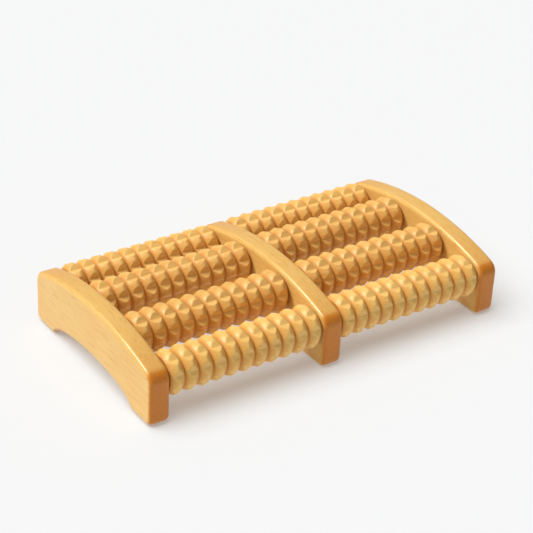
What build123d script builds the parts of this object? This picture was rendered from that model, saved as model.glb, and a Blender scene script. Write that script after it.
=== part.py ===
from build123d import *
import os
from math import sqrt

os.makedirs("parts", exist_ok=True)

# Foot massage roller. Three arched hardwood boards carry four steel rods. On each rod turn two
# ringed and fluted wooden rollers, one in each bay between the boards.
# Frame: the origin is on the floor under the middle of the object, +X runs along the rollers,
# +Y runs from the front to the back, and +Z is up.

# Overall sizes
overall_length = 280.0  # outer face of the left board to outer face of the right board
board_width = 151.0  # front to back
board_thickness = 15.0
crown_height = 50.4  # top of a board above the floor, at mid width
end_height = 37.8  # where the top arc would meet the upright ends, before the corner is rounded

# Board outline
foot_length = 25.0
arch_height = 12.5  # top of the arch under a board, above the floor
end_corner_radius = 9.0
foot_outer_radius = 5.5
foot_inner_margin = 3.0  # inner corner of a foot, on top of the rounding along the faces
edge_round = 3.0  # rounding along both faces of a board

# Rollers
ring_count = 11
ring_radius = 15.1
ring_rise = 2.6  # the crown of a ring above its own edges
groove_width = 1.3
groove_depth = 3.5  # bottom of the groove between two rings, below the crowns
flute_count = 8
flute_half_width = 3.7  # where a flute breaks through the crown of a ring
flute_depth = 2.2
front_flute_depth = 1.5  # the front pair is cut more lightly
outer_proud = 1.5  # top of an outer roller above the boards beside it
inner_proud = 1.0
roller_overhang = 1.0  # outer rollers reach this far past the ends of the boards
middle_gap_ratio = 1.75  # gap between the two middle rows, as a multiple of the other two gaps

# Rods, washers and pads
rod_radius = 3.0
rod_chamfer = 0.4
socket_depth = 9.5
socket_end_gap = 0.3
bore_clearance = 0.075  # between a rod and a roller's bore, on the radius
washer_radius = 6.5
washer_thickness = 0.6
washer_clearance = 0.1  # between a rod and a washer's hole, on the radius
end_play = 0.2  # between a washer and the roller beside it
pad_thickness = 0.8
pad_inset = 0.4  # edge of a pad inside the flat of the foot above it
pad_corner_radius = 2.0

# Places that follow from the sizes above
half_length = overall_length / 2
half_width = board_width / 2
half_thickness = board_thickness / 2
foot_inner_radius = edge_round + foot_inner_margin
top_rise = crown_height - end_height
top_arc_radius = (half_width**2 + top_rise**2) / (2 * top_rise)
bay_length = (overall_length - 3 * board_thickness) / 2
roller_gap = washer_thickness + end_play
roller_length = bay_length - 2 * roller_gap
ring_pitch = roller_length / ring_count
flat_length = foot_length - foot_outer_radius - foot_inner_radius
flat_width = board_thickness - 2 * edge_round
board_starts = {
    "left": -half_length,
    "centre": -half_thickness,
    "right": half_length - board_thickness,
}
bay_starts = {"left": -half_length + board_thickness, "right": half_thickness}


def board_top(y):
    # Height of the top arc above the floor at the distance y from mid width.
    return crown_height - top_arc_radius + sqrt(top_arc_radius**2 - y**2)


outer_axle_y = half_width + roller_overhang - ring_radius
outer_axle_z = board_top(outer_axle_y) + outer_proud - ring_radius
free_width = 2 * outer_axle_y - 3 * (2 * ring_radius)
inner_axle_y = ring_radius + free_width * middle_gap_ratio / (2 + middle_gap_ratio) / 2
inner_axle_z = board_top(inner_axle_y) + inner_proud - ring_radius
axles = {
    "front": (-outer_axle_y, outer_axle_z),
    "mid_front": (-inner_axle_y, inner_axle_z),
    "mid_back": (inner_axle_y, inner_axle_z),
    "back": (outer_axle_y, outer_axle_z),
}

# Each roller is stored turned by its own angle: from straight up to its first flute, towards
# the front, in degrees.
stored_turns = {
    "left_front": 28.5,
    "left_mid_front": 28.0,
    "left_mid_back": 14.0,
    "left_back": 12.5,
    "right_front": 28.5,
    "right_mid_front": 25.0,
    "right_mid_back": 23.0,
    "right_back": 19.0,
}


def save(piece, name):
    piece.part.label = name
    export_step(piece.part, f"parts/{name}.step")


def make_board(side):
    # A board: its arched outline, its rounded edges, and the holes that hold the rods.
    start_x = board_starts[side]
    arch_half = half_width - foot_length
    with BuildPart() as board:
        with BuildSketch(Plane.YZ.offset(start_x)):
            with BuildLine():
                Line((-half_width, pad_thickness), (-half_width, end_height))
                ThreePointArc((-half_width, end_height), (0, crown_height), (half_width, end_height))
                Line((half_width, end_height), (half_width, pad_thickness))
                Line((half_width, pad_thickness), (arch_half, pad_thickness))
                arch_rise = arch_height - pad_thickness
                EllipticalCenterArc((0, pad_thickness), arch_half, arch_rise, start_angle=0, arc_size=180)
                Line((-arch_half, pad_thickness), (-half_width, pad_thickness))
            make_face()
        extrude(amount=board_thickness)
        foot_edges = board.edges().filter_by(Axis.X).group_by(Axis.Z)[0].sort_by(Axis.Y)
        fillet(foot_edges[1:3], foot_inner_radius)
        foot_edges = board.edges().filter_by(Axis.X).group_by(Axis.Z)[0].sort_by(Axis.Y)
        fillet([foot_edges[0], foot_edges[-1]], foot_outer_radius)
        fillet(board.edges().filter_by(Axis.X).group_by(Axis.Z)[-1], end_corner_radius)
        fillet(board.faces().filter_by(Axis.X).edges(), edge_round)
        # Blind sockets open towards the rollers in the end boards. The centre board is bored through.
        socket_start = start_x + (board_thickness - socket_depth if side == "left" else 0)
        socket_length = board_thickness if side == "centre" else socket_depth
        with BuildSketch(Plane.YZ.offset(socket_start)):
            with Locations(*axles.values()):
                Circle(rod_radius)
        extrude(amount=socket_length, mode=Mode.SUBTRACT)
    save(board, f"{side}_board")


def make_rod(row):
    # A rod runs through both rollers of a row, from the left board's socket to the right one's.
    rod_length = overall_length - 2 * (board_thickness - socket_depth) - 2 * socket_end_gap
    with BuildPart() as rod:
        with BuildSketch(Plane.YZ.offset(-rod_length / 2)):
            with Locations(axles[row]):
                Circle(rod_radius)
        extrude(amount=rod_length)
        chamfer(rod.faces().filter_by(Axis.X).edges(), rod_chamfer)
    save(rod, f"{row}_rod")


def make_roller(side, row):
    # A roller: rings turned on a lathe, then V flutes cut along its length, and a bore for the rod.
    start = (bay_starts[side] + roller_gap, *axles[row])
    bore_radius = rod_radius + bore_clearance
    half_groove = groove_width / 2
    edge_radius = ring_radius - ring_rise
    flute_bottom = ring_radius - (front_flute_depth if row == "front" else flute_depth)
    flute_rise = sqrt(ring_radius**2 - flute_half_width**2) - flute_bottom
    with BuildPart() as roller:
        with BuildSketch(Plane(origin=start, x_dir=(1, 0, 0), z_dir=(0, -1, 0))):
            with BuildLine():
                Line((0, bore_radius), (0, edge_radius))
                for ring in range(ring_count):
                    low = ring * ring_pitch + (half_groove if ring > 0 else 0)
                    high = (ring + 1) * ring_pitch - (half_groove if ring < ring_count - 1 else 0)
                    ThreePointArc((low, edge_radius), ((low + high) / 2, ring_radius), (high, edge_radius))
                    if ring < ring_count - 1:
                        groove = (high + half_groove, ring_radius - groove_depth)
                        Polyline((high, edge_radius), groove, (high + groove_width, edge_radius))
                Line((roller_length, edge_radius), (roller_length, bore_radius))
                Line((roller_length, bore_radius), (0, bore_radius))
            make_face()
        revolve(axis=Axis(start, (1, 0, 0)))
        # The local x of this plane points up and its y to the front, so a turn counts from the top.
        with BuildSketch(Plane(origin=start, x_dir=(0, 0, 1), z_dir=(1, 0, 0))):
            with PolarLocations(flute_bottom, flute_count, start_angle=stored_turns[f"{side}_{row}"]):
                # The V goes on outwards to twice its size, well clear of the rings.
                upper = (2 * flute_rise, 2 * flute_half_width)
                lower = (2 * flute_rise, -2 * flute_half_width)
                Polygon((0, 0), lower, upper, align=None)
        extrude(amount=roller_length, mode=Mode.SUBTRACT)
    save(roller, f"{side}_{row}_roller")


def make_washer(name, start_x, axle):
    with BuildPart() as washer:
        with BuildSketch(Plane.YZ.offset(start_x)):
            with Locations(axle):
                Circle(washer_radius)
                Circle(rod_radius + washer_clearance, mode=Mode.SUBTRACT)
        extrude(amount=washer_thickness)
    save(washer, name)


def make_pad(side, end, direction):
    # A pad under the flat of one foot. Its underside is the floor.
    flat_centre_y = half_width - foot_outer_radius - flat_length / 2
    centre = (board_starts[side] + half_thickness, direction * flat_centre_y)
    with BuildPart() as pad:
        with BuildSketch(Plane.XY):
            with Locations(centre):
                RectangleRounded(flat_width - 2 * pad_inset, flat_length - 2 * pad_inset, pad_corner_radius)
        extrude(amount=pad_thickness)
    save(pad, f"{side}_board_{end}_pad")


for side in board_starts:
    make_board(side)
    make_pad(side, "front", -1)
    make_pad(side, "back", 1)

for row in axles:
    make_rod(row)
    for side in bay_starts:
        make_roller(side, row)
        left_face = bay_starts[side]
        right_face = left_face + bay_length - washer_thickness
        make_washer(f"{side}_{row}_left_washer", left_face, axles[row])
        make_washer(f"{side}_{row}_right_washer", right_face, axles[row])
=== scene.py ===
from math import atan2, cos, hypot, pi, radians, sin, sqrt, tan
import bmesh
import bpy
from mathutils import Matrix, Vector, noise


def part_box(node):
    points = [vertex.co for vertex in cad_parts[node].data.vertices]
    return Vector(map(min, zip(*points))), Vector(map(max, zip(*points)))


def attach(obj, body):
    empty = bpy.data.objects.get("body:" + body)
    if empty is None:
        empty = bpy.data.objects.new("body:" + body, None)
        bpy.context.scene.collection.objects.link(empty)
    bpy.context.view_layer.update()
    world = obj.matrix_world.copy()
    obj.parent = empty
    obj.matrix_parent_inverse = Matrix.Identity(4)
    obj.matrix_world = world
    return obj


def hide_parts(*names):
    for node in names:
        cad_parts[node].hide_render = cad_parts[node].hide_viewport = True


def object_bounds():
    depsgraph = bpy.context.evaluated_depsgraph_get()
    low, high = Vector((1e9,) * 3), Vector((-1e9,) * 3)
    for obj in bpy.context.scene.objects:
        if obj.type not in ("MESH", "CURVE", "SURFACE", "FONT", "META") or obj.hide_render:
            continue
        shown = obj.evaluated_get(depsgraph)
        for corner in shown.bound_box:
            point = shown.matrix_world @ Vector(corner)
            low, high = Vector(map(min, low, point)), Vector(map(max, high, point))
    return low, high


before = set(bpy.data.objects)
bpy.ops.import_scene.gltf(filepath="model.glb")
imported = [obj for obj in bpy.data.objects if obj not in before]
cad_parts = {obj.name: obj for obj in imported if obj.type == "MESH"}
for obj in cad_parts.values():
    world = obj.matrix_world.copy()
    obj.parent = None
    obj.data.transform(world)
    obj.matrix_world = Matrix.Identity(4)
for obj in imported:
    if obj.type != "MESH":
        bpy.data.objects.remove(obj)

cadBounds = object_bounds()
scene = bpy.context.scene
mm = 0.001


# Meshes

def meshPiece(name, verts, faces, smooth=True):
    mesh = bpy.data.meshes.new(name)
    mesh.from_pydata(verts, [], faces)
    mesh.validate()
    shape = bmesh.new()
    shape.from_mesh(mesh)
    bmesh.ops.recalc_face_normals(shape, faces=shape.faces)
    for face in shape.faces:
        face.smooth = smooth
    shape.to_mesh(mesh)
    shape.free()
    piece = bpy.data.objects.new(name, mesh)
    scene.collection.objects.link(piece)
    return piece


def gridFaces(rows, columns, wrapRows=False):
    # Quads between rows of points. Each row closes on itself, and with wrapRows so do the columns.
    faces = []
    for row in range(rows if wrapRows else rows - 1):
        below = (row + 1) % rows
        for column in range(columns):
            right = (column + 1) % columns
            faces.append((row * columns + column, row * columns + right,
                          below * columns + right, below * columns + column))
    return faces


def softMin(a, b, width):
    # The lower of two heights, with the corner between them rounded over about this width.
    return (a + b - sqrt((a - b) ** 2 + width ** 2)) / 2


# Node helpers

class Nodes:
    def __init__(self, tree):
        self.tree = tree

    def add(self, kind, **settings):
        node = self.tree.nodes.new(kind)
        for key, value in settings.items():
            setattr(node, key, value)
        return node

    def link(self, source, target):
        self.tree.links.new(source, target)

    def feed(self, target, value):
        # A socket is linked, and a plain number, colour or vector is set.
        if isinstance(value, bpy.types.NodeSocket):
            self.link(value, target)
        else:
            target.default_value = value

    def math(self, operation, a, b=0.0):
        node = self.add("ShaderNodeMath", operation=operation)
        self.feed(node.inputs[0], a)
        self.feed(node.inputs[1], b)
        return node.outputs[0]

    def vector(self, operation, a, b=(0, 0, 0)):
        node = self.add("ShaderNodeVectorMath", operation=operation)
        self.feed(node.inputs[0], a)
        self.feed(node.inputs[1], b)
        return node.outputs["Value" if operation in ("LENGTH", "DOT_PRODUCT") else "Vector"]

    def noise(self, vector, scale, detail, roughness=0.55):
        node = self.add("ShaderNodeTexNoise")
        self.feed(node.inputs["Vector"], vector)
        self.feed(node.inputs["Scale"], scale)
        self.feed(node.inputs["Detail"], detail)
        self.feed(node.inputs["Roughness"], roughness)
        return node.outputs["Fac"]

    def stretched(self, place, scales, detail, roughness=0.55):
        # Noise drawn out along one axis, with its own scale on each axis.
        return self.noise(self.vector("MULTIPLY", place, scales), 1.0, detail, roughness)

    def range(self, value, fromLow, fromHigh, toLow=0.0, toHigh=1.0):
        node = self.add("ShaderNodeMapRange", interpolation_type="SMOOTHSTEP")
        self.feed(node.inputs["Value"], value)
        self.feed(node.inputs["From Min"], fromLow)
        self.feed(node.inputs["From Max"], fromHigh)
        self.feed(node.inputs["To Min"], toLow)
        self.feed(node.inputs["To Max"], toHigh)
        return node.outputs[0]

    def mix(self, factor, a, b, blend="MIX"):
        node = self.add("ShaderNodeMix", data_type="RGBA", blend_type=blend)
        self.feed(node.inputs["Factor"], factor)
        self.feed(node.inputs["A"], a)
        self.feed(node.inputs["B"], b)
        return node.outputs["Result"]

    def bump(self, height, strength, distance, under=None):
        # A normal from a height, laid over another normal if there is one.
        node = self.add("ShaderNodeBump")
        self.feed(node.inputs["Height"], height)
        self.feed(node.inputs["Strength"], strength)
        self.feed(node.inputs["Distance"], distance)
        if under:
            self.link(under, node.inputs["Normal"])
        return node.outputs["Normal"]


def newMaterial(name):
    # An empty material, its node helper and the place on the piece in metres.
    material = bpy.data.materials.new(name)
    material.use_nodes = True
    material.node_tree.nodes.clear()
    n = Nodes(material.node_tree)
    return material, n, n.add("ShaderNodeTexCoord").outputs["Object"]


def addShader(n, color, roughness, normal):
    # The shader and the material's output. What is even all over the piece is set on the shader itself.
    shader = n.add("ShaderNodeBsdfPrincipled")
    n.link(color, shader.inputs["Base Color"])
    n.link(roughness, shader.inputs["Roughness"])
    n.link(normal, shader.inputs["Normal"])
    output = n.add("ShaderNodeOutputMaterial")
    n.link(shader.outputs[0], output.inputs["Surface"])
    return shader


def newGroup(name, inputs, outputs):
    group = bpy.data.node_groups.new(name, "ShaderNodeTree")
    for label, kind, value in inputs:
        socket = group.interface.new_socket(label, in_out="INPUT", socket_type=kind)
        if value is not None:
            socket.default_value = value
    for label in outputs:
        group.interface.new_socket(label, in_out="OUTPUT", socket_type="NodeSocketFloat")
    nodes = Nodes(group)
    return group, nodes, nodes.add("NodeGroupInput").outputs, nodes.add("NodeGroupOutput").inputs


# Scales are per metre: along the fibres, then across them twice.
grainShape = {
    "bendScales": (9.0, 45.0, 45.0), "bendTurns": 6.0, "heartStretch": (0.02, 1.0, 1.0),
    "earlyEnd": 0.75, "lateStart": 0.8,
    "fibreScales": (45.0, 900.0, 900.0), "streakScales": (12.0, 260.0, 260.0), "streakShare": 0.3,
    "poreScales": (60.0, 1150.0, 1150.0), "poreLow": 0.60, "poreHigh": 0.70,
}


def makeWoodGrain():
    # Grain of a solid block. The fibres run along the X of the position that is fed in.
    # Bands are the growth rings, Fibres the fine streaks, Pores the short dark dashes.
    g = grainShape
    group, n, source, result = newGroup("woodGrain", [
        ("Position", "NodeSocketVector", None),
        ("Shift", "NodeSocketVector", (0.0, 0.0, 0.0)),
        ("Ring Spacing", "NodeSocketFloat", 0.004),
        ("Waviness", "NodeSocketFloat", 0.5),
    ], ["Bands", "Fibres", "Pores", "Height"])
    place = n.vector("ADD", source["Position"], source["Shift"])
    # The growth rings lie round a heart line along X, well outside the piece.
    slow = n.stretched(place, g["bendScales"], 2.0)
    bend = n.math("MULTIPLY", n.math("SUBTRACT", slow, 0.5), source["Waviness"])
    across = n.vector("LENGTH", n.vector("MULTIPLY", place, g["heartStretch"]))
    bent = n.math("MULTIPLY", bend, g["bendTurns"])
    turns = n.math("ADD", n.math("DIVIDE", across, source["Ring Spacing"]), bent)
    saw = n.math("FRACT", turns)
    early = n.range(saw, 0.0, g["earlyEnd"])
    late = n.range(saw, g["lateStart"], 1.0, 1.0, 0.0)
    fibres = n.stretched(place, g["fibreScales"], 4.0, 0.65)
    streaks = n.stretched(place, g["streakScales"], 3.0, 0.6)
    pores = n.range(n.stretched(place, g["poreScales"], 1.0, 0.5), g["poreLow"], g["poreHigh"])
    fineShare = n.math("MULTIPLY", fibres, 1 - g["streakShare"])
    n.link(n.math("MULTIPLY", early, late), result["Bands"])
    n.link(n.math("ADD", fineShare, n.math("MULTIPLY", streaks, g["streakShare"])), result["Fibres"])
    n.link(pores, result["Pores"])
    n.link(n.math("SUBTRACT", fibres, pores), result["Height"])
    return group


woodGrain = makeWoodGrain()


# Between which two values each mask goes from none to full.
woodMasks = {"fibres": (0.35, 0.7), "blotches": (0.3, 0.75), "endGrain": (0.05, 0.7), "roughness": (0.3, 0.7)}


def woodMaterial(name, look, grainAxis, axle=None):
    # Lacquered hardwood. The lacquer is the coat. End grain shows where a surface faces the fibres.
    # On a roller the colour is darkened towards the bottoms of the grooves: this is painted shade.
    material, n, place = newMaterial(name)
    faceNormal = n.add("ShaderNodeNewGeometry").outputs["Normal"]
    fibreAxis = (1.0, 0.0, 0.0)
    if grainAxis == "Y":
        fibreAxis = (0.0, 1.0, 0.0)
        apart = n.add("ShaderNodeSeparateXYZ")
        n.link(place, apart.inputs[0])
        turned = n.add("ShaderNodeCombineXYZ")
        n.link(apart.outputs["Y"], turned.inputs["X"])
        n.link(apart.outputs["X"], turned.inputs["Y"])
        n.link(apart.outputs["Z"], turned.inputs["Z"])
        place = turned.outputs[0]
    grain = n.add("ShaderNodeGroup", node_tree=woodGrain)
    n.link(place, grain.inputs["Position"])
    grain.inputs["Shift"].default_value = look["shift"]
    grain.inputs["Ring Spacing"].default_value = look["ringSpacing"]
    grain.inputs["Waviness"].default_value = look["waviness"]
    fibres = grain.outputs["Fibres"]
    facing = n.math("ABSOLUTE", n.vector("DOT_PRODUCT", faceNormal, fibreAxis))
    bandMask = n.range(grain.outputs["Bands"], 0.0, 1.0, 0.0, look["bandDepth"])
    fibreMask = n.range(fibres, *woodMasks["fibres"], 0.0, look["fibreDepth"])
    blotches = n.noise(place, look["blotchScale"], 2.0)
    blotchMask = n.range(blotches, *woodMasks["blotches"], 0.0, look["blotchDepth"])
    poreMask = n.math("MULTIPLY", grain.outputs["Pores"], look["poreDepth"])
    endMask = n.math("MULTIPLY", n.range(facing, *woodMasks["endGrain"]), look["endDepth"])
    color = n.mix(bandMask, look["light"], look["dark"])
    color = n.mix(fibreMask, color, look["dark"])
    color = n.mix(blotchMask, color, look["warm"])
    color = n.mix(poreMask, color, look["pore"])
    color = n.mix(endMask, color, look["endTint"], "MULTIPLY")
    carved = None
    if axle:
        # Painted shade: the colour gets darker towards the bottoms of the grooves, measured by distance from
        # the axle.
        spoke = n.vector("MULTIPLY", n.vector("SUBTRACT", place, axle), (0.0, 1.0, 1.0))
        fromAxle = n.vector("LENGTH", spoke)
        grooveShadeMask = n.range(fromAxle, look["grooveFloor"], look["grooveTop"], look["grooveShadeDepth"], 0.0)
        color = n.mix(grooveShadeMask, color, look["grooveShade"])
        dents = n.noise(place, look["carvedScale"], 1.0)
        carved = n.bump(dents, look["carvedStrength"], look["carvedHeight"])
    normal = n.bump(grain.outputs["Height"], look["bumpStrength"], look["bumpHeight"], carved)
    roughness = n.range(fibres, *woodMasks["roughness"], look["roughLow"], look["roughHigh"])
    shader = addShader(n, color, roughness, normal)
    shader.inputs["Coat Weight"].default_value = look["coat"]
    shader.inputs["Coat Roughness"].default_value = look["coatRoughness"]
    shader.inputs["IOR"].default_value = look["ior"]
    shader.inputs["Specular Tint"].default_value = look["sheen"]
    return material


def dress(piece, material, body, node):
    # Gives a new piece its finish and slot, the body it moves with and the CAD node it stands for.
    piece.data.materials.clear()
    piece.data.materials.append(material)
    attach(piece, body)
    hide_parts(node)


# Boards

boardShape = {
    "endHeight": 37.8 * mm, "footLength": 25.0 * mm, "archHeight": 12.5 * mm, "footRise": 0.8 * mm,
    "endCorner": 9.0 * mm, "footOuter": 5.5 * mm, "footInner": 6.0 * mm, "edgeRound": 3.0 * mm,
    "outlinePoints": 420,  # on each half of the outline, which share their two end points
    "topSteps": 60, "cornerSteps": 24, "footSteps": 12, "archSteps": 80,
    "edgeSteps": 8, "faceRows": 10,
}

boardWood = {
    "light": (0.82, 0.525, 0.163, 1), "dark": (0.69, 0.37, 0.087, 1), "warm": (0.785, 0.445, 0.106, 1),
    "pore": (0.66, 0.30, 0.05, 1), "endTint": (0.79, 0.39, 0.04, 1), "sheen": (1.0, 0.86, 0.6, 1),
    "bandDepth": 0.12, "fibreDepth": 0.5, "blotchDepth": 0.4, "poreDepth": 0.6, "endDepth": 0.95,
    "ringSpacing": 0.0045, "waviness": 0.12, "blotchScale": 45.0, "bumpStrength": 0.25, "bumpHeight": 0.00006,
    "roughLow": 0.30, "roughHigh": 0.42, "coat": 0.2, "coatRoughness": 0.14, "ior": 1.48,
}

boardShifts = {"left": 0.0, "centre": 0.31, "right": 0.67}  # so that no two boards have the same grain


def cornerArc(before, corner, after, radius):
    # Points of a rounded corner of this radius between two straight directions.
    into = (before - corner).normalized()
    out = (after - corner).normalized()
    half = into.angle(out) / 2
    middle = corner + (into + out).normalized() * (radius / sin(half))
    first = corner + into * (radius / tan(half)) - middle
    sweep = pi - 2 * half
    side = 1 if into.cross(out) < 0 else -1
    steps = boardShape["cornerSteps"]
    return [middle + Matrix.Rotation(side * sweep * step / steps, 2) @ first for step in range(steps + 1)]


def archCorner(archHalf, archRise, radius):
    # Where a circle of this radius touches both the flat of a foot and the arch: how far out its
    # centre lies, and the arch's angle at the place it touches.
    fine = 0.001
    angles = [step * fine for step in range(int(pi / 2 / fine) + 1)]
    low, high = archHalf, archHalf + radius
    for halving in range(30):
        centre = (low + high) / 2
        gaps = [(hypot(archHalf * cos(a) - centre, archRise * sin(a) - radius), a) for a in angles]
        nearest, angle = min(gaps)
        if nearest < radius:
            low = centre
        else:
            high = centre
    return centre, angle


def upperHalf(halfWidth, crown):
    # From the middle of the back end up its rounded corner and over to the middle of the top.
    s = boardShape
    rise = crown - s["endHeight"]
    arcRadius = (halfWidth ** 2 + rise ** 2) / (2 * rise)

    def top(y):
        return Vector((y, crown - arcRadius + sqrt(arcRadius ** 2 - y ** 2)))

    straight = Vector((halfWidth, 0.0))
    topCorner = Vector((halfWidth, s["endHeight"]))
    corner = cornerArc(straight, topCorner, top(halfWidth - 10 * mm), s["endCorner"])
    topStart = corner[-1].x
    steps = s["topSteps"]
    arc = [top(topStart * (1 - step / steps)) for step in range(1, steps + 1)]
    return [Vector((halfWidth, s["endHeight"] / 2))] + corner + arc


def lowerHalf(halfWidth, crown):
    # From the middle of the back end down to the foot, along its flat and up the arch to its top.
    s = boardShape
    archHalf = halfWidth - s["footLength"]
    archRise = s["archHeight"] - s["footRise"]
    inner = s["footInner"]
    footOut = Vector((halfWidth, s["footRise"]))
    footIn = Vector((archHalf, s["footRise"]))
    points = [Vector((halfWidth, s["endHeight"] / 2))]
    points += cornerArc(Vector((halfWidth, crown)), footOut, footIn, s["footOuter"])
    centre, touchAngle = archCorner(archHalf, archRise, inner)
    touch = Vector((archHalf * cos(touchAngle) - centre, archRise * sin(touchAngle) - inner))
    down = 1.5 * pi
    sweep = atan2(touch.y, touch.x) % (2 * pi) - down
    for step in range(s["footSteps"] + 1):
        angle = down + sweep * step / s["footSteps"]
        points.append(Vector((centre + inner * cos(angle), s["footRise"] + inner * (1 + sin(angle)))))
    for step in range(1, s["archSteps"] + 1):
        angle = touchAngle + (pi / 2 - touchAngle) * step / s["archSteps"]
        points.append(Vector((archHalf * cos(angle), s["footRise"] + archRise * sin(angle))))
    return points


def mirrored(back):
    # The same points in front, then those at the back: from the middle of the front end to the middle
    # of the back end.
    return [Vector((-point.x, point.y)) for point in back] + back[-2::-1]


def resample(chain, count):
    # Equal steps along a chain of points.
    lengths = [0.0]
    for before, after in zip(chain, chain[1:]):
        lengths.append(lengths[-1] + (after - before).length)
    points = []
    segment = 0
    for step in range(count):
        wanted = lengths[-1] * step / (count - 1)
        while segment < len(chain) - 2 and lengths[segment + 1] < wanted:
            segment += 1
        span = lengths[segment + 1] - lengths[segment]
        points.append(chain[segment].lerp(chain[segment + 1], (wanted - lengths[segment]) / span))
    return points


def edgeProfile(low, high):
    # How far inside the outline each loop of the board lies, and at which x: a rounding, the board's
    # thickness, and the other rounding.
    size = boardShape["edgeRound"]
    steps = boardShape["edgeSteps"]
    roundings = []
    for face, sign in ((low, 1), (high, -1)):
        angles = [pi / 2 * step / steps for step in range(steps + 1)]
        roundings.append([(size * (1 - sin(a)), face + sign * size * (1 - cos(a))) for a in angles])
    return roundings[0] + roundings[1][::-1]


def closeSide(verts, faces, base, total):
    # Fills a flat side of a board with rows of points between its upper and lower outline. The loop
    # that it fills starts at the vertex called base.
    count = boardShape["outlinePoints"]
    rows = boardShape["faceRows"]
    previous = [base + index for index in range(count)]
    bottom = [base + (total - index) % total for index in range(count)]
    for row in range(1, rows + 1):
        current = bottom
        if row < rows:
            current = [previous[0]]
            for index in range(1, count - 1):
                upper = Vector(verts[base + index])
                lower = Vector(verts[bottom[index]])
                verts.append(tuple(upper.lerp(lower, row / rows)))
                current.append(len(verts) - 1)
            current.append(previous[-1])
        for index in range(count - 1):
            quad = (previous[index], previous[index + 1], current[index + 1], current[index])
            corners = list(dict.fromkeys(quad))
            if len(corners) > 2:
                faces.append(tuple(corners))
        previous = current


def makeBoard(side):
    node = f"{side}_board"
    low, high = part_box(node)
    halfWidth = (high.y - low.y) / 2
    count = boardShape["outlinePoints"]
    upper = resample(mirrored(upperHalf(halfWidth, high.z)), count)
    lower = resample(mirrored(lowerHalf(halfWidth, high.z)), count)
    outline = upper + lower[-2:0:-1]
    total = len(outline)
    inward = []
    for index in range(total):
        along = outline[(index + 1) % total] - outline[index - 1]
        inward.append(Vector((along.y, -along.x)).normalized())
    profile = edgeProfile(low.x, high.x)
    verts = []
    for inset, x in profile:
        for point, normal in zip(outline, inward):
            moved = point + normal * inset
            verts.append((x, moved.x, moved.y))
    faces = gridFaces(len(profile), total)
    for loop in (0, len(profile) - 1):
        closeSide(verts, faces, loop * total, total)
    piece = meshPiece(f"{side}BoardShell", verts, faces)
    offset = boardShifts[side]
    look = dict(boardWood, shift=(offset, 0.05 + offset * 0.01, 0.08))
    dress(piece, woodMaterial(f"{side}BoardWood", look, "Y"), "frame", node)


for side in boardShifts:
    makeBoard(side)
print("boards made")


# Rollers

rollerShape = {
    "rings": 11, "endGap": 0.4 * mm, "ringRadius": 15.1 * mm, "ringRise": 2.7 * mm, "crownPower": 1.6,
    "grooveWidth": 0.8 * mm, "grooveDepth": 3.4 * mm, "boreRadius": 3.075 * mm,
    "flutes": 8, "fluteHalfWidth": 3.7 * mm, "fluteRounding": 0.03, "leastFlute": radians(1.2),
    "edgeSoftness": 0.09 * mm, "grooveSoftness": 0.14 * mm, "stepsPerRing": 22,
    # How much the hand cut flutes and the surface vary.
    "depthChange": 0.3 * mm, "leanChange": radians(2.5), "waveHeight": 0.05 * mm, "waveScale": 160,
}

fluteSteps = (0.06, 0.16, 0.36, 0.6, 0.82, 0.95, 1.0)  # from the bottom line of a flute to its edge
landSteps = (0.12, 0.35, 0.68)  # from the edge of a flute to half way to the next one
endSteps = (0.9, 0.6, 0.0)  # on an end face, from the outside in to the bore

# The turn is in degrees from straight up to the first flute, towards the front.
rollers = {
    "left_front": {"turn": 28.5, "seed": 1},
    "left_mid_front": {"turn": 28.0, "seed": 2},
    "left_mid_back": {"turn": 14.0, "seed": 3},
    "left_back": {"turn": 12.5, "seed": 4},
    "right_front": {"turn": 28.5, "seed": 5},
    "right_mid_front": {"turn": 25.0, "seed": 6},
    "right_mid_back": {"turn": 23.0, "seed": 7},
    "right_back": {"turn": 19.0, "seed": 8},
}

rollerWood = {
    "light": (0.96, 0.635, 0.205, 1), "dark": (0.84, 0.465, 0.115, 1), "warm": (0.93, 0.54, 0.145, 1),
    "pore": (0.50, 0.25, 0.065, 1), "endTint": (0.84, 0.68, 0.50, 1), "sheen": (1.0, 0.86, 0.6, 1),
    "bandDepth": 0.25, "fibreDepth": 0.45, "blotchDepth": 0.6, "poreDepth": 0.3, "endDepth": 0.8,
    "ringSpacing": 0.0035, "waviness": 0.2, "blotchScale": 45.0, "bumpStrength": 0.25, "bumpHeight": 0.00006,
    "roughLow": 0.38, "roughHigh": 0.52, "coat": 0.12, "coatRoughness": 0.26, "ior": 1.48,
    "grooveShade": (0.66, 0.30, 0.06, 1), "grooveShadeDepth": 0.8, "grooveFloor": 0.0117, "grooveTop": 0.0138,
    "carvedScale": 260.0, "carvedStrength": 0.6, "carvedHeight": 0.0004,
}

# Painted shade: a darker copy of the roller wood for the two middle rows, which lie in the shade of the rows
# beside them.
shadedInnerTone = {
    "light": (0.95, 0.585, 0.185, 1), "dark": (0.69, 0.37, 0.092, 1), "warm": (0.83, 0.465, 0.12, 1),
}
backTone = {
    "light": (0.97, 0.63, 0.205, 1), "dark": (0.80, 0.44, 0.113, 1), "warm": (0.89, 0.525, 0.142, 1),
}

# The front row is cut more lightly. The front, the back and the two middle rows each have their own tone; the
# darker tone of the two middle rows is painted shade from the rows beside them.
rollerRows = {
    "front": {"fluteDepth": 1.5 * mm, "slot": "outer_roller_wood", "tone": {}},
    "mid_front": {"fluteDepth": 2.1 * mm, "slot": "inner_roller_wood", "tone": shadedInnerTone},
    "mid_back": {"fluteDepth": 2.1 * mm, "slot": "inner_roller_wood", "tone": shadedInnerTone},
    "back": {"fluteDepth": 2.1 * mm, "slot": "outer_roller_wood", "tone": backTone},
}


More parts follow.
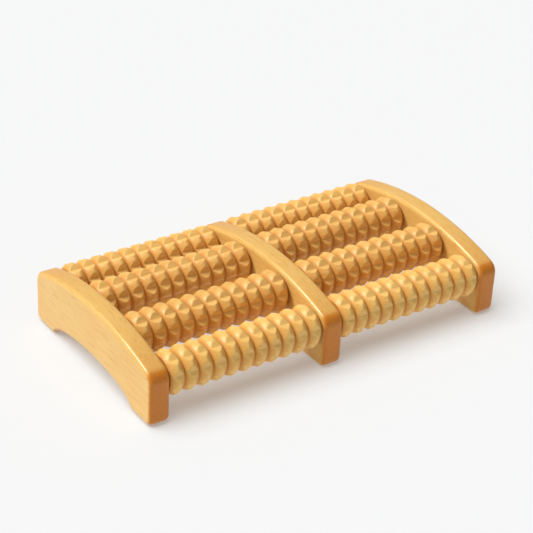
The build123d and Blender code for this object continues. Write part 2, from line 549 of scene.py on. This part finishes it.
def ringSurface(x, length):
    # Radius of the turned roller at the place x along it, before the flutes are cut.
    s = rollerShape
    pitch = length / s["rings"]
    ring = min(s["rings"] - 1, int(x / pitch))
    fromMiddle = abs(x - (ring + 0.5) * pitch)
    reach = pitch / 2 - s["grooveWidth"] / 2
    crown = s["ringRadius"] - s["ringRise"] * (fromMiddle / reach) ** s["crownPower"]
    toGroove = min(abs(x - line * pitch) for line in (ring, ring + 1) if 0 < line < s["rings"])
    slope = 2 * (s["grooveDepth"] - s["ringRise"]) / s["grooveWidth"]
    bottom = s["ringRadius"] - s["grooveDepth"]
    soft = s["grooveSoftness"]
    groove = bottom + slope * (sqrt(toGroove ** 2 + soft ** 2) - soft)
    return softMin(crown, groove, s["edgeSoftness"])


def fluteSurface(angle, depth):
    # Radius of the flute's two flat walls at this angle from its bottom line.
    s = rollerShape
    bottom = s["ringRadius"] - depth
    half = s["fluteHalfWidth"]
    slope = half / (sqrt(s["ringRadius"] ** 2 - half ** 2) - bottom)
    across = sqrt(sin(angle) ** 2 + s["fluteRounding"] ** 2) - s["fluteRounding"]
    return slope * bottom / (slope * cos(angle) - across)


def fluteEdge(radius, depth):
    # Angle at which the flute breaks through a surface of this radius. It never gets smaller than the
    # least angle, so that no two columns of points meet.
    least = rollerShape["leastFlute"]
    if fluteSurface(0.0, depth) >= radius:
        return least
    low, high = 0.0, pi / rollerShape["flutes"]
    for halving in range(24):
        middle = (low + high) / 2
        if fluteSurface(middle, depth) < radius:
            low = middle
        else:
            high = middle
    return max(least, high)


def ringStations(pitch, length):
    # Places along the roller, closest together at the grooves.
    steps = rollerShape["stepsPerRing"]
    stations = []
    for ring in range(rollerShape["rings"]):
        for step in range(steps):
            across = sin(pi / 2 * (2 * step / steps - 1))
            stations.append((ring + 0.5 + across / 2) * pitch)
    return stations + [length]


def fluteOffsets(edge, period):
    # Angles from a flute's bottom line: across the flute, then over the land to the next flute.
    half = [edge * part for part in fluteSteps]
    land = [edge + (period - 2 * edge) * part / 2 for part in landSteps]
    flute = [-angle for angle in half[::-1]] + [0.0] + half
    return flute + land + [period / 2] + [period - angle for angle in land[::-1]]


def closeEnds(verts, columns, start, length, axle):
    # Rows of points on the two end faces, down to the bore. The grid wraps and so lines the bore.
    bore = rollerShape["boreRadius"]
    lastRow = len(verts) - columns
    for x, edgeRow, parts in ((length, lastRow, endSteps), (0.0, 0, endSteps[::-1])):
        for part in parts:
            for column in range(columns):
                edgePoint = verts[edgeRow + column]
                out = hypot(edgePoint[1] - axle.y, edgePoint[2] - axle.z)
                share = (bore + (out - bore) * part) / out
                verts.append((start + x, axle.y + (edgePoint[1] - axle.y) * share,
                              axle.z + (edgePoint[2] - axle.z) * share))


def rollerVerts(facts, fluteDepth, start, length, axle):
    s = rollerShape
    pitch = length / s["rings"]
    period = 2 * pi / s["flutes"]
    firstTurn = radians(facts["turn"])
    seed = facts["seed"] * 7.31
    stations = ringStations(pitch, length)
    verts = []
    # The odd factors below only set rings, flutes and rollers apart in the noise.
    for x in stations:
        radius = ringSurface(x, length)
        ring = min(s["rings"] - 1, int(x / pitch))
        for flute in range(s["flutes"]):
            change = noise.noise(Vector((ring * 1.7 + seed, flute * 2.3, seed)))
            lean = s["leanChange"] * noise.noise(Vector((flute * 1.9, ring * 2.1 + seed, seed)))
            depth = fluteDepth + s["depthChange"] * change
            for offset in fluteOffsets(fluteEdge(radius, depth), period):
                within = abs(offset) if offset <= period / 2 else period - offset
                reach = softMin(radius, fluteSurface(within, depth), s["edgeSoftness"])
                turn = firstTurn + flute * period + offset + lean * (1 - within / (period / 2))
                wave = noise.noise(Vector((x * s["waveScale"] + seed, 3 * cos(turn), 3 * sin(turn))))
                reach += s["waveHeight"] * (wave - 1)
                verts.append((start + x, axle.y - reach * sin(turn), axle.z + reach * cos(turn)))
    columns = len(verts) // len(stations)
    closeEnds(verts, columns, start, length, axle)
    return verts, columns


def makeRoller(name):
    facts = rollers[name]
    row = name.split("_", 1)[1]
    rowFacts = rollerRows[row]
    node = f"{name}_roller"
    low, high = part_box(node)
    rodLow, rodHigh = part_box(f"{row}_rod")
    axle = (rodLow + rodHigh) / 2
    start = low.x + rollerShape["endGap"]
    length = high.x - rollerShape["endGap"] - start
    verts, columns = rollerVerts(facts, rowFacts["fluteDepth"], start, length, axle)
    faces = gridFaces(len(verts) // columns, columns, wrapRows=True)
    piece = meshPiece(f"{name}RollerWood", verts, faces)
    seed = facts["seed"]
    look = dict(rollerWood, **rowFacts["tone"])
    look["shift"] = (seed * 0.37, 0.03 + 0.004 * seed, 0.02 + 0.006 * seed)
    material = woodMaterial(f"{name}Wood", look, "X", (0.0, axle.y, axle.z))
    dress(piece, material, f"{name}_roller_body", node)


for name in rollers:
    makeRoller(name)
print("rollers made")


# Rods, washers and pads keep their CAD shapes

smallSurface = {"mottle": (0.3, 0.7), "bumpStrength": 0.2, "bumpHeight": 0.00004}

steelLook = {
    "light": (0.66, 0.66, 0.65, 1), "dark": (0.5, 0.5, 0.49, 1), "metallic": 1.0,
    "roughLow": 0.22, "roughHigh": 0.38, "stretch": (60.0, 4000.0, 4000.0),
}
nylonLook = {
    "light": (0.07, 0.045, 0.03, 1), "dark": (0.04, 0.028, 0.02, 1), "metallic": 0.0,
    "roughLow": 0.45, "roughHigh": 0.6, "stretch": (2500.0, 2500.0, 2500.0),
}
rubberLook = {
    "light": (0.06, 0.05, 0.045, 1), "dark": (0.03, 0.027, 0.025, 1), "metallic": 0.0,
    "roughLow": 0.75, "roughHigh": 0.9, "stretch": (1800.0, 1800.0, 1800.0),
}


def plainMaterial(name, look):
    # A fine mottled surface: drawn steel, moulded nylon or rubber.
    material, n, place = newMaterial(name)
    fine = n.stretched(place, look["stretch"], 4.0, 0.6)
    s = smallSurface
    color = n.mix(n.range(fine, *s["mottle"]), look["light"], look["dark"])
    roughness = n.range(fine, *s["mottle"], look["roughLow"], look["roughHigh"])
    shader = addShader(n, color, roughness, n.bump(fine, s["bumpStrength"], s["bumpHeight"]))
    shader.inputs["Metallic"].default_value = look["metallic"]
    return material


smallParts = {
    "_rod": plainMaterial("drawnSteel", steelLook),
    "_washer": plainMaterial("darkNylon", nylonLook),
    "_pad": plainMaterial("footRubber", rubberLook),
}
for nodeName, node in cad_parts.items():
    for ending, material in smallParts.items():
        if nodeName.endswith(ending):
            node.data.materials.clear()
            node.data.materials.append(material)
print("small parts dressed")


# Floor, light and camera

studio = {
    "floorSize": 12.0, "floorColor": (0.352, 0.357, 0.364, 1), "floorRoughness": 0.9, "floorSpecular": 0.1,
    "skyColor": (1.0, 0.95, 0.88, 1), "skyStrength": 0.34,
}

# The key is a far softbox on the left and a little behind, and leaves the floor out. A wider lamp
# and a fill without shadows light only the floor, so its shadows stay soft and pale.
suns = {
    "keyLight": {"source": (-0.48, 0.34, 0.81), "angle": 20.0, "power": 3.3, "color": (1.0, 1.0, 1.0),
                 "shadow": True, "floor": "EXCLUDE"},
    "floorLight": {"source": (-0.40, 0.10, 0.91), "angle": 60.0, "power": 4.84, "color": (0.991, 1.046, 1.09),
                   "shadow": True, "floor": "INCLUDE"},
    "floorFill": {"source": (0.0, 0.0, 1.0), "angle": 0.0, "power": 2.85, "color": (1.0, 0.90, 0.81),
                  "shadow": False, "floor": "INCLUDE"},
}

camera = {
    "azimuth": -35.6, "elevation": 30.285, "roll": 3.0, "distance": 1.189868,
    "target": (0.014013, 0.024073, 0.022635), "lens": 114.408, "sensor": 36.0,
}


def makeFloor():
    half = studio["floorSize"] / 2
    low = cadBounds[0].z
    corners = [(-half, -half, low), (half, -half, low), (half, half, low), (-half, half, low)]
    floor = meshPiece("studioFloor", corners, [(0, 1, 2, 3)], smooth=False)
    material = bpy.data.materials.new("floorPaper")
    material.use_nodes = True
    shader = material.node_tree.nodes["Principled BSDF"]
    shader.inputs["Base Color"].default_value = studio["floorColor"]
    shader.inputs["Roughness"].default_value = studio["floorRoughness"]
    shader.inputs["Specular IOR Level"].default_value = studio["floorSpecular"]
    floor.data.materials.append(material)
    return floor


def makeSky():
    world = bpy.data.worlds.new("studioSky")
    world.use_nodes = True
    sky = world.node_tree.nodes["Background"]
    sky.inputs["Color"].default_value = studio["skyColor"]
    sky.inputs["Strength"].default_value = studio["skyStrength"]
    scene.world = world


def makeSun(name, floor):
    facts = suns[name]
    light = bpy.data.lights.new(name, "SUN")
    light.color = facts["color"]
    light.angle = radians(facts["angle"])
    light.energy = facts["power"]
    light.use_shadow = facts["shadow"]
    lamp = bpy.data.objects.new(name, light)
    lamp.rotation_euler = (-Vector(facts["source"])).to_track_quat("-Z", "Y").to_euler()
    scene.collection.objects.link(lamp)
    reach = bpy.data.collections.new(name + "Reach")
    reach.objects.link(floor)
    reach.collection_objects[0].light_linking.link_state = facts["floor"]
    lamp.light_linking.receiver_collection = reach


def makeCamera():
    azimuth = radians(camera["azimuth"])
    elevation = radians(camera["elevation"])
    roll = radians(camera["roll"])
    back = Vector((sin(azimuth) * cos(elevation), -cos(azimuth) * cos(elevation), sin(elevation)))
    right = Vector((cos(azimuth), sin(azimuth), 0.0))
    up = back.cross(right)
    rolledRight = right * cos(roll) + up * sin(roll)
    rolledUp = up * cos(roll) - right * sin(roll)
    data = bpy.data.cameras.new("studioCamera")
    data.sensor_width = camera["sensor"]
    data.lens = camera["lens"]
    eye = bpy.data.objects.new("studioCamera", data)
    turn = Matrix((rolledRight, rolledUp, back)).transposed().to_4x4()
    place = Vector(camera["target"]) + back * camera["distance"]
    eye.matrix_world = Matrix.Translation(place) @ turn
    scene.collection.objects.link(eye)
    scene.camera = eye


floor = makeFloor()
makeSky()
for name in suns:
    makeSun(name, floor)
makeCamera()
scene.view_settings.view_transform = "Standard"
print("studio made")
